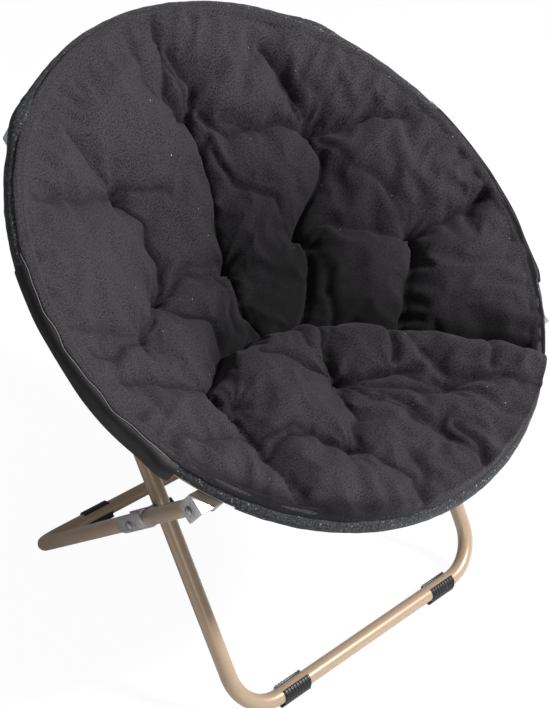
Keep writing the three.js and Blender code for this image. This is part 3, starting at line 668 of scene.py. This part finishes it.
def quilt_top(x, s, with_hold=False):
    """Height of the bowl's upper side, and on request how firmly it's held down and how much painted shade
    it gets.
    """
    rho, angle = np.hypot(x, s), np.arctan2(s, x)
    share, base = bowl(rho)

    # The cloth is sewn along the rim, the lines and the tufts, and fills out between them.
    wide = field(x, s, 90, 3.7)
    mid = field(x, s, 34, 8.1)
    fine = field(x, s, 13, 5.3)
    wx, ws = x + 5 * field(x, s, 45, 1.1), s + 5 * field(x, s, 45, 2.2)
    inside_rim = np.maximum(372 - rho, 0)
    sewn = inside_rim + 12
    hold = ramp(rho, 350, 364)
    height = np.zeros_like(x)
    scallops = 3.5 * np.sin(x / 19) * np.sin(x / 47 + 0.7) + 2.5 * np.sin(x / 11 + 2)
    crease = to_line(x, s + scallops, CREASE)
    bolster = to_line(x, s, BOLSTER)
    line_x, line_s = zip(*CREASE)
    ahead = s + scallops < np.interp(x, line_x, line_s)
    side_s, side_x = zip(*sorted((b, a) for a, b in BOLSTER))
    seat = ahead & (x > np.interp(s, side_s, side_x)) & (x > -230)
    calm = np.where(seat, 0.66, 1.0)
    # dark gathers painted shade along the valleys, folds and tufts.
    dark = np.zeros_like(x)
    for strength, line in VALLEYS:
        away = to_line(wx, ws, line)
        soft = np.sqrt(away**2 + 2.0)
        height -= calm * strength * (8 * np.exp(-soft / 13) + 9 * np.exp(-soft / 4))
        sewn = np.minimum(sewn, away + 30 * (1 - min(strength, 1)))
        hold = np.maximum(hold, 0.85 * min(strength, 1) * np.exp(-((away / 5) ** 2)))
        shade = 0.55 * np.exp(-((away / 4.5) ** 2)) + 0.28 * np.exp(-away / 16)
        dark = np.maximum(dark, min(strength, 1) * shade)
    for strength, line in FOLDS:
        away = to_line(wx, ws, line)
        soft = np.sqrt(away**2 + 1.5)
        shade = 0.55 * np.exp(-((away / 4.5) ** 2)) + 0.26 * np.exp(-away / 14)
        dark = np.maximum(dark, strength * shade)
        height -= strength * (3.6 * np.exp(-soft / 9) + 5.5 * np.exp(-soft / 3.2))
        height += strength * 2.0 * np.exp(-(((soft - 12) / 6) ** 2))
    for i, (tx, ts, strength) in enumerate(TUFTS):
        dx, ds = x - tx, s - ts
        away = np.hypot(dx, ds)
        height -= strength * (10 * np.exp(-((away / 24) ** 1.1)) + 9 * np.exp(-((away / 8) ** 1.4)))
        turn = np.arctan2(ds, dx)
        folds = 1 - 2 * np.abs(np.cos((3 + i % 3) * turn + 2.1 * i + 1.1 * np.sin(2 * turn + i)))
        height += strength * 6.0 * folds * np.exp(-(away / 26)) * (1 - np.exp(-((away / 9) ** 2)))
        sewn = np.minimum(sewn, away + 8 * (1 - strength))
        hold = np.maximum(hold, strength * np.exp(-((away / 9) ** 2)))
        dark = np.maximum(dark, strength * (0.5 * np.exp(-((away / 7) ** 2)) + 0.3 * np.exp(-away / 18)))

    # The seat rises from its crest and its left border, with a groove behind them and a roll beside.
    border = np.minimum(crease, bolster)
    inner = np.where(seat, border, 0.0)
    right = ramp(x, -20, 120)
    lift = (1 - np.exp(-inner / 8)) * (14 + 24 * np.exp(-((crease / 190) ** 2)))
    lift *= 1 - 0.62 * np.exp(-((bolster / 48) ** 1.5))
    behind = (13 + 12 * right) * np.exp(-crease / (15 + 8 * right)) + 5 * np.exp(-(bolster / 10)) * (s < -90)
    height += lift - np.where(seat, 0.0, behind)
    sewn = np.minimum(sewn, np.where(seat, np.minimum(crease, bolster + 12), border + 7))
    hold = np.maximum(hold, np.exp(-((border / 7) ** 2)))
    roll = np.exp(-((bolster - 42) ** 2) / (2 * 26**2)) * (~seat) * ramp(-s, 110, 150) * (x < 0)
    height += 9 * roll

    # The filling between the seams, its unevenness and the gathers along the rim.
    height += calm * (16 * (1 - np.exp(-sewn / 27)) - 6)
    creased = 1 - 2.4 * np.abs(field(wx, ws, 30, 6.6))
    radial = (1 - 2.4 * np.abs(field(angle * 260, rho / 3.5, 24, 2.9))) * ramp(rho, 230, 350)
    height += 4.0 * wide + 1.6 * mid + 0.3 * fine + 1.2 * creased + 1.8 * radial
    waves = np.sin(angle * 57 + 3.0 * wide) * (0.55 + 0.45 * np.sin(angle * 9 + 1))
    height += 3.6 * waves * np.exp(-inside_rim / 32)

    # Near the rim the cloth goes over the hem and never into it.
    over = np.sqrt(np.maximum(OVER_HEM**2 - (rho - RING_MM) ** 2, 0))
    # Along the lower left rim the cloth sinks a little; further down the same stretch is painted in shadow.
    shaded = np.exp(-(((angle + 2.25) / 0.42) ** 4))
    height -= 7 * shaded * ramp(rho, 340, 376)
    held = ramp(rho, 377, 386)
    top = (1 - held) * (base + height) + held * over
    clear = over + 2.0 * np.logaddexp(0, (top - over) / 2.0)
    top = top + ramp(rho, 366, 372) * (1 - held) * (clear - top)
    if not with_hold:
        return top
    # How deep in the bowl and how near a seam the cloth lies: painted shade there, darker towards the bowl's
    # middle, a little over the seat, behind the seat's crest and along the seams, folds and tufts.
    inward = np.exp(-((np.hypot(x - 110, s - 10) / 175) ** 2))
    above = 0.92 * np.exp(-((crease / (50 + 22 * right)) ** 1.7)) * ramp(x, -190, -90)
    left = 1.0 + 0.35 * ramp(-x, 20, 120)
    seam = np.where(seat, 0.03, np.maximum(above, 0.45 * np.exp(-border / 12))) + 0.95 * dark * left
    painted_shade = 0.72 * inward * np.where(seat, 0.35, 1.0) + 0.3 * (1 - share) + 0.1 * seat - 0.06
    painted_shade = np.clip(painted_shade + (1 - np.clip(painted_shade, 0, 1)) * seam, 0, 0.9)
    # Painted shade in a band along the right rim, inside the hem.
    bound = ramp(rho, 376, 380) * (x > 0) * ramp(s, -305, -290) * (1 - ramp(s, -20, 30))
    painted_shade = np.maximum(painted_shade, 0.9 * bound)
    # Painted shadow along the lower left rim, where the cloth sinks under the hem.
    painted_shade = np.maximum(painted_shade, 0.75 * shaded * ramp(rho, 348, 373))
    return top, hold, painted_shade


# A cloth simulation of the cover's upper side: slightly too large a cloth, held down at the seams
# and tufts and pressed out between them. It gives a shift for each place on the bowl. Its points are
# a square grid that is bent into a disc.

GRID, REACH = 150, 371.0
CLOTH_FRAMES, MOST_SHIFT = 20, 13


def cloth_shift():
    u, v = np.meshgrid(np.linspace(-1, 1, GRID), np.linspace(-1, 1, GRID), indexing="ij")
    x, s = REACH * u * np.sqrt(1 - v**2 / 2), REACH * v * np.sqrt(1 - u**2 / 2)
    top, hold, _ = quilt_top(x, s, with_hold=True)
    before = np.stack([x, s, top], 2)
    faces = [
        (i * GRID + j, (i + 1) * GRID + j, (i + 1) * GRID + j + 1, i * GRID + j + 1)
        for i in range(GRID - 1)
        for j in range(GRID - 1)
    ]
    mesh = bpy.data.meshes.new("cloth_trial")
    mesh.from_pydata([tuple(p) for p in before.reshape(-1, 3) / 1000], [], faces)
    obj = linked("cloth_trial", mesh)
    group = obj.vertex_groups.new(name="held")
    for i, weight in enumerate(hold.ravel()):
        if weight > 0.02:
            group.add([i], float(min(weight, 1)), "REPLACE")
    cloth = obj.modifiers.new("cloth", "CLOTH")
    rules = cloth.settings
    rules.quality = 5
    rules.mass = 0.25
    rules.tension_stiffness = rules.compression_stiffness = 18
    rules.shear_stiffness = 6
    rules.bending_stiffness = 15
    rules.use_pressure = True
    rules.uniform_pressure_force = 3.0
    rules.shrink_min = rules.shrink_max = -0.03
    rules.vertex_group_mass = "held"
    rules.effector_weights.gravity = 0
    cloth.collision_settings.use_collision = False
    cloth.collision_settings.use_self_collision = False
    for step in range(1, CLOTH_FRAMES + 1):
        bpy.context.scene.frame_set(step)
    posed = obj.evaluated_get(bpy.context.evaluated_depsgraph_get())
    flat = np.zeros(GRID * GRID * 3)
    posed.data.vertices.foreach_get("co", flat)
    shift = flat.reshape(GRID, GRID, 3) * 1000 - before
    bpy.data.objects.remove(obj)
    bpy.context.scene.frame_set(1)
    far = np.linalg.norm(shift, axis=2, keepdims=True)
    return shift * np.minimum(1, MOST_SHIFT / np.maximum(far, 1e-6))


def soft_steps(t):
    """Weights of four neighbours for a smooth curve through a grid."""
    return (
        (-(t**3) + 2 * t**2 - t) / 2,
        (3 * t**3 - 5 * t**2 + 2) / 2,
        (-3 * t**3 + 4 * t**2 + t) / 2,
        (t**3 - t**2) / 2,
    )


def grid_place(a, b):
    """Where the disc's point (a, b) lies along the first side of the square grid."""
    middle, turn = 2 + a * a - b * b, 2 * math.sqrt(2) * a
    u = (np.sqrt(np.maximum(middle + turn, 0)) - np.sqrt(np.maximum(middle - turn, 0))) / 2
    return (np.clip(u, -1, 1) + 1) / 2 * (GRID - 1)


def shift_at(shift, x, s):
    a, b = x / REACH, s / REACH
    gu, gv = grid_place(a, b), grid_place(b, a)
    iu, iv = np.floor(gu).astype(int), np.floor(gv).astype(int)
    total = np.zeros((*x.shape, 3))
    for p, wp in enumerate(soft_steps(gu - iu)):
        for q, wq in enumerate(soft_steps(gv - iv)):
            row, column = np.clip(iu + p - 1, 0, GRID - 1), np.clip(iv + q - 1, 0, GRID - 1)
            total += (wp * wq)[..., None] * shift[row, column]
    fade = 1 - ramp(np.hypot(x, s), 352, 368)
    return total * fade[..., None]


def leg_top(s):
    """Height of the front leg's upper side under the bowl: down and forward from its pins."""
    return -40 - 0.384 * (286.1 - s) + 12.5


def quilt_under(x, s, top):
    """Height of the bowl's underside, which stays above the front leg and below the upper side."""
    share, base = bowl(np.hypot(x, s))
    under = base - 20 - 26 * (1 - share**4) + 2.5 * field(x, s, 70, 12.5)
    over_leg = np.exp(-(((np.abs(x) - 249) / 26) ** 4)) * (s > -60) * (s < 300)
    raised = over_leg * (leg_top(s) + 3) + (1 - over_leg) * under
    under = np.where(over_leg > 0.02, np.maximum(under, raised), under)
    return np.minimum(under, top - 4)


def build_quilt():
    turns, inner_rings, outer_rings, under_rings = 660, 100, 18, 36
    rings = inner_rings + outer_rings
    even = 360
    angles = np.linspace(0, 2 * PI, turns, endpoint=False)
    edge = rim_at(angles)
    inner = even * np.linspace(0, 1, inner_rings + 1)[1:]
    outer = np.linspace(0, 1, outer_rings + 1)[1:]
    outwards = even + outer[:, None] * (edge - even)[None, :]
    rho = np.concatenate([np.repeat(inner[:, None], turns, 1), outwards])
    x, s = rho * np.cos(angles), rho * np.sin(angles)
    top, _, painted_shade = quilt_top(x, s, with_hold=True)
    top[-1] = rim_height(angles)
    centre_top = float(quilt_top(np.array([0.01]), np.array([0.0]))[0])
    moved = shift_at(cloth_shift(), x, s)
    centre_top += float(moved[0, :, 2].mean())
    x, s, top = x + moved[..., 0], s + moved[..., 1], top + moved[..., 2]

    # Turned under along the hem, then down the tube's inner side.
    turned = [edge_turn(angles) + (math.radians(176) - edge_turn(angles)) * k / 7 for k in range(8)]
    under_hem = [(RING_MM + (HEM + 0.5) * np.cos(t), (HEM + 0.5) * np.sin(t)) for t in turned]

    low_rho = 368.5 * np.linspace(0, 1, under_rings + 1)[1:][:, None] * np.ones(turns)[None, :]
    lx, ls = low_rho * np.cos(angles), low_rho * np.sin(angles)
    low = quilt_under(lx, ls, quilt_top(lx * 0.985, ls * 0.985))

    rows = [np.stack([x[i], s[i], top[i]], 1) for i in range(rings)]
    rows += [np.stack([r * np.cos(angles), r * np.sin(angles), n], 1) for r, n in under_hem]
    for k in (0.35, 0.7):
        n = under_hem[-1][1] * (1 - k) + low[-1] * k
        rows.append(np.stack([QUILT_RADIUS * np.cos(angles), QUILT_RADIUS * np.sin(angles), n], 1))
    rows += [np.stack([lx[i], ls[i], low[i]], 1) for i in range(under_rings - 1, -1, -1)]
    centre_low = float(low[0].mean())
    points = np.concatenate([[[0, 0, centre_top]], *rows, [[0, 0, centre_low]]])

    faces = [(0, 1 + j, 1 + (j + 1) % turns) for j in range(turns)]
    for i in range(len(rows) - 1):
        a, b = 1 + i * turns, 1 + (i + 1) * turns
        faces += [(a + j, b + j, b + (j + 1) % turns, a + (j + 1) % turns) for j in range(turns)]
    last, end = 1 + (len(rows) - 1) * turns, len(points) - 1
    faces += [(last + j, end, last + (j + 1) % turns) for j in range(turns)]

    # The cloth laid flat, by its length along the plain bowl's profile.
    run = np.linspace(0, 400, 401)
    slope = BOWL_DEPTH * BOWL_POWER / QUILT_RADIUS * (run[1:] / QUILT_RADIUS) ** (BOWL_POWER - 1)
    arc = np.concatenate([[0], np.cumsum(np.sqrt(1 + slope**2))])
    flat = np.interp(np.hypot(points[:, 0], points[:, 1]), run, arc)
    turn = np.arctan2(points[:, 1], points[:, 0])
    cloth = np.stack([flat * np.cos(turn), flat * np.sin(turn)], 1) / 1000

    mesh = bpy.data.meshes.new("quilt")
    mesh.from_pydata([tuple(p) for p in points / 1000], [], faces)
    layer = mesh.uv_layers.new(name="cloth")
    index = np.zeros(len(mesh.loops), int)
    mesh.loops.foreach_get("vertex_index", index)
    layer.data.foreach_set("uv", cloth[index].ravel())
    # The painted shade from quilt_top, stored on the points for the cloth's material.
    tone = mesh.attributes.new("painted_shade", "FLOAT", "POINT")
    shades = np.zeros(len(points))
    shades[0] = painted_shade[0].mean()
    shades[1 : 1 + rings * turns] = painted_shade.ravel()
    tone.data.foreach_set("value", shades)
    mesh.transform(RING)
    mesh.update()
    obj = linked("quilt", mesh)
    alone(obj)
    bpy.ops.object.shade_smooth()
    return obj


def half_of(obj, name, keep_back):
    """One side of the cut at the hinges, shaded as the whole bowl is."""
    mesh = obj.data.copy()
    half = linked(name, mesh)
    normals = np.zeros(len(obj.data.vertices) * 3)
    obj.data.vertices.foreach_get("normal", normals)
    stored = mesh.attributes.new("whole_normal", "FLOAT_VECTOR", "POINT")
    stored.data.foreach_set("vector", normals)
    edit(half)
    bpy.ops.mesh.bisect(
        plane_co=on_ring(0, HINGE_BACK),
        plane_no=RING.to_3x3() @ Vector((0, 1, 0)),
        use_fill=True,
        clear_inner=keep_back,
        clear_outer=not keep_back,
    )
    done()
    kept = mesh.attributes["whole_normal"]
    out = np.zeros(len(mesh.vertices) * 3)
    kept.data.foreach_get("vector", out)
    out = out.reshape(-1, 3)
    lengths = np.linalg.norm(out, axis=1, keepdims=True)
    own = np.zeros(len(mesh.vertices) * 3)
    mesh.vertices.foreach_get("normal", own)
    out = np.where(lengths > 0.3, out / np.maximum(lengths, 1e-9), own.reshape(-1, 3))
    mesh.normals_split_custom_set_from_vertices([tuple(n) for n in out])
    mesh.attributes.remove(mesh.attributes["whole_normal"])
    return half


quilt = build_quilt()
back_half = half_of(quilt, "quilted_back", True)
seat_half = half_of(quilt, "quilted_seat", False)
bpy.data.objects.remove(quilt)
settle(back_half, "quilted_back", TWILL, "ring_back", ["back_quilt"])
settle(seat_half, "quilted_seat", TWILL, "ring_front", ["seat_quilt"])
for half in (back_half, seat_half):
    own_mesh(half)


# Hem round the ring tube, black hinge covers and the light seam between cover and quilt


def angle_at(back):
    return math.asin(back / RING_MM)


clevis_back = angle_at(BACK_PIN_AT * 1000)
clevis_front = angle_at(FRONT_PIN_AT * 1000)

# Half the gap that the hem leaves for a bracket.
CUT = 27.0 / 385.0


def ring_piece(name, points, faces, smooth):
    """A mesh from points in the ring's frame in millimetres, smooth up to the given angle."""
    mesh = bpy.data.meshes.new(name)
    mesh.from_pydata([tuple(p) for p in points / 1000], [], faces)
    mesh.transform(RING)
    obj = linked(name, mesh)
    edit(obj)
    bpy.ops.mesh.normals_make_consistent(inside=False)
    done()
    bpy.ops.object.shade_smooth_by_angle(angle=math.radians(smooth))
    return obj


def skin_round(name, start, end, profile, material, body, stands_for=(), rounds=28, full=True, wall=1.6):
    """A sleeve round the ring tube, or a strip along it where it isn't full.

    profile(angle, turn) gives how far out from the tube's middle line it lies and how far above.
    """
    step = 3
    steps = max(4, round(abs(end - start) * RING_MM / step))
    angles = np.linspace(start, end, steps + 1)
    turns = np.linspace(0, 2 * PI, rounds, endpoint=False) if full else np.linspace(0, 1, rounds)
    a, t = np.meshgrid(angles, turns, indexing="ij")
    out, above = profile(a, t)
    rho = RING_MM + out
    outer = np.stack([rho * np.cos(a), rho * np.sin(a), above], 2)
    size = np.maximum(np.hypot(out, above), 0.1)
    rho = RING_MM + out * (1 - wall / size)
    inner = np.stack([rho * np.cos(a), rho * np.sin(a), above * (1 - wall / size)], 2)
    n, m = steps + 1, rounds
    points = np.concatenate([outer.reshape(-1, 3), inner.reshape(-1, 3)])
    faces, far = [], n * m
    around = m if full else m - 1
    for i in range(n - 1):
        for j in range(around):
            k = (j + 1) % m
            faces.append((i * m + j, (i + 1) * m + j, (i + 1) * m + k, i * m + k))
            faces.append((far + i * m + j, far + i * m + k, far + (i + 1) * m + k, far + (i + 1) * m + j))
    for i in (0, n - 1):
        for j in range(around):
            k = (j + 1) % m
            faces.append((i * m + j, i * m + k, far + i * m + k, far + i * m + j))
    if not full:
        for j in (0, m - 1):
            for i in range(n - 1):
                faces.append((i * m + j, (i + 1) * m + j, far + (i + 1) * m + j, far + i * m + j))
    obj = ring_piece(name, points, faces, 50)
    return settle(obj, name, material, body, stands_for)


def over_clevis(angle, turn):
    """The hem's gentle bulge over each bracket of the front leg."""
    away = np.minimum(np.abs(angle - clevis_back), np.abs(angle - (PI - clevis_back))) * RING_MM
    return 6.5 * np.exp(-((away / 34) ** 2)) * np.maximum(np.cos(0.8 * wrapped(turn) + 0.25), 0)


def hem_profile(angle, turn):
    where = angle * RING_MM
    ripple = field(where, turn * 15, 14, 4.4) * 0.35 + field(where, turn * 15, 45, 9.4) * 0.5
    radius = HEM - 0.2 + ripple + over_clevis(angle, turn)
    return radius * np.cos(turn), radius * np.sin(turn)


def strip_profile(angle, share):
    turn = math.radians(8) + share * math.radians(120)
    where = angle * RING_MM
    radius = HEM - 0.3 + field(where, turn * 15, 20, 4.4) * 0.4
    return radius * np.cos(turn), radius * np.sin(turn)


def flap_profile(angle, share):
    turn = math.radians(-88) + share * math.radians(216)
    radius = HEM + 0.2 + over_clevis(angle, turn) + field(angle * RING_MM, turn * 15, 20, 4.4) * 0.4
    return radius * np.cos(turn), radius * np.sin(turn)


def cover_profile(angle, turn):
    where = angle * RING_MM
    ripple = field(where, turn * 15, 40, 6.6) * 0.5
    s = RING_MM * np.sin(angle)
    low = 12.8 + 13 * ramp(-s, 10, 100)
    height = np.where(np.sin(turn) < 0, low, 12.6)
    out = 12.7 + 5.5 * np.exp(-(((s + 172) / 18) ** 2)) * (np.cos(turn) > 0)
    across, up = np.cos(turn), np.sin(turn)
    across, up = np.sign(across) * np.abs(across) ** 0.7, np.sign(up) * np.abs(up) ** 0.8
    return (out + ripple) * across, (height + ripple) * up


HEMMED, TAPED = (hem_profile, HEM_CLOTH), (cover_profile, TAPE)
FLAP, STRIP = (flap_profile, HEM_CLOTH), (strip_profile, HEM_CLOTH)
back_near, back_far = clevis_back - CUT, clevis_back + CUT
front_near, front_far = clevis_front - CUT, PI - clevis_front + CUT
skin_round("hem_back_top", back_far, PI - clevis_back - CUT, *HEMMED, "ring_back", ["back_sleeve_top"])
skin_round("hem_front", front_far, 2 * PI + clevis_front - CUT, *HEMMED, "ring_front", ["front_sleeve"])

for word, side in SIDES:
    for part, body, low, high, finish, more in (
        ("hem_back", "ring_back", angle_at(COVER_FROM), back_near, HEMMED,
         {"stands_for": [f"back_sleeve_{word}"]}),
        ("hem_back_strip", "ring_back", back_near, back_far, FLAP,
         {"rounds": 20, "full": False, "wall": 1.2}),
        ("hem_front_strip", "ring_front", front_near, angle_at(COVER_TO), STRIP,
         {"rounds": 12, "full": False, "wall": 1.2}),
        ("hinge_cover_back", "ring_back", angle_at(HINGE_MM + 0.1), angle_at(COVER_FROM), TAPED,
         {"rounds": 40}),
        ("hinge_cover_front", "ring_front", angle_at(COVER_TO), angle_at(HINGE_MM - 0.1), TAPED,
         {"rounds": 40}),
    ):
        start, end = (low, high) if side > 0 else (PI - low, PI - high)
        skin_round(f"{part}_{word}", start, end, *finish, body, **more)


def cord_along(name, points, radius, material, body):
    """A thin seam thread through the points, which are in the ring's frame in millimetres."""
    points = np.array(points)
    steps, sides = len(points), 6
    ahead = np.gradient(points, axis=0)
    ahead /= np.linalg.norm(ahead, axis=1, keepdims=True)
    up = np.tile([0, 0, 1.0], (steps, 1))
    across = np.cross(ahead, up)
    across /= np.linalg.norm(across, axis=1, keepdims=True)
    up = np.cross(across, ahead)
    rows = []
    for k in range(sides):
        t = 2 * PI * k / sides
        rows.append(points + radius * (math.cos(t) * across + math.sin(t) * up))
    faces = []
    for i in range(steps - 1):
        for k in range(sides):
            j = (k + 1) % sides
            faces.append((i * sides + k, i * sides + j, (i + 1) * sides + j, (i + 1) * sides + k))
    faces += [tuple(range(sides))[::-1], tuple((steps - 1) * sides + k for k in range(sides))]
    obj = ring_piece(name, np.stack(rows, 1).reshape(-1, 3), faces, 60)
    return settle(obj, name, material, body)


for word, side in SIDES:
    for part, low, high, body in (
        ("back", HINGE_MM + 0.2, COVER_FROM + 14, "ring_back"),
        ("front", COVER_TO + 9, HINGE_MM - 0.2, "ring_front"),
    ):
        angles = np.linspace(angle_at(low), angle_at(high), max(12, round((high - low) / 1.5)))
        if side < 0:
            angles = PI - angles
        # On the right the seam lies further out than the cloth's edge.
        beyond = 0.08 if side < 0 else 1.2
        rho = RING_MM + (HEM + 0.5) * np.cos(edge_turn(angles) - beyond)
        above = (HEM + 0.5) * np.sin(edge_turn(angles) - beyond)
        line = np.stack([rho * np.cos(angles), rho * np.sin(angles), above], 1)
        cord_along(f"seam_thread_{part}_{word}", line, 0.6, THREAD, body)


# Floor, light and camera. Seen directly, the floor and the world are white, but they light the chair
# much less than they look.

bpy.ops.object.select_all(action="DESELECT")
bpy.ops.mesh.primitive_plane_add(size=60, location=(0, 0, -0.0005))
floor = bpy.context.object
floor.name = "floor"
s = Shader("pale_floor")
path = s.tree.nodes.new("ShaderNodeLightPath")
glow = s.node("ShaderNodeEmission", Color=(1, 1, 1, 1), Strength=1.06)
both = s.tree.nodes.new("ShaderNodeMixShader")
s.finish(Base_Color=(0.86, 0.86, 0.86, 1), Roughness=0.8)
s.put(both.inputs[0], s.maths("MULTIPLY", path.outputs["Is Camera Ray"], 0.9))
s.put(both.inputs[1], s.surface.outputs[0])
s.put(both.inputs[2], glow.outputs[0])
s.put(s.tree.nodes["Material Output"].inputs["Surface"], both.outputs[0])
floor.data.materials.append(s.material)

world = bpy.data.worlds.new("studio")
bpy.context.scene.world = world
world.use_nodes = True
tree = world.node_tree
shine = tree.nodes["Background"]
shine.inputs["Color"].default_value = (1, 1, 1, 1)
shine.inputs["Strength"].default_value = 0.2
seen = tree.nodes.new("ShaderNodeBackground")
seen.inputs["Color"].default_value = (1, 1, 1, 1)
seen.inputs["Strength"].default_value = 1.0
rays = tree.nodes.new("ShaderNodeLightPath")
choice = tree.nodes.new("ShaderNodeMixShader")
tree.links.new(rays.outputs["Is Camera Ray"], choice.inputs[0])
tree.links.new(shine.outputs[0], choice.inputs[1])
tree.links.new(seen.outputs[0], choice.inputs[2])
tree.links.new(choice.outputs[0], tree.nodes["World Output"].inputs["Surface"])


def area_light(name, place, target, size, power):
    data = bpy.data.lights.new(name, "AREA")
    data.shape, data.size, data.energy = "DISK", size, power
    obj = linked(name, data)
    obj.location = place
    obj.rotation_euler = (Vector(target) - Vector(place)).to_track_quat("-Z", "Y").to_euler()


area_light("key", (1.25, -2.1, 2.4), (0, 0, 0.45), 0.5, 136)
area_light("fill", (-1.8, -2.6, 1.5), (0, 0, 0.4), 1.4, 12)

scene = bpy.context.scene
camera_data = bpy.data.cameras.new("camera")
camera = linked("camera", camera_data)
scene.camera = camera
azimuth, elevation, roll = math.radians(-46.0), math.radians(31.9), math.radians(2.7)
look_at, distance = Vector((0, 0.0292, 0.3892)), 2.0194
backward = Vector(
    (math.sin(azimuth) * math.cos(elevation), -math.cos(azimuth) * math.cos(elevation), math.sin(elevation))
)
right = Vector((math.cos(azimuth), math.sin(azimuth), 0))
upward = backward.cross(right)
tilted_right = math.cos(roll) * right + math.sin(roll) * upward
tilted_up = -math.sin(roll) * right + math.cos(roll) * upward
turned = Matrix((tilted_right, tilted_up, backward)).transposed().to_4x4()
camera.matrix_world = Matrix.Translation(look_at + backward * distance) @ turned
camera_data.sensor_fit = "VERTICAL"
camera_data.sensor_height = 36
camera_data.sensor_width = 36
camera_data.lens = 73.35
camera_data.shift_y = 0.003
camera_data.clip_end = 100
scene.view_settings.view_transform = "Standard"
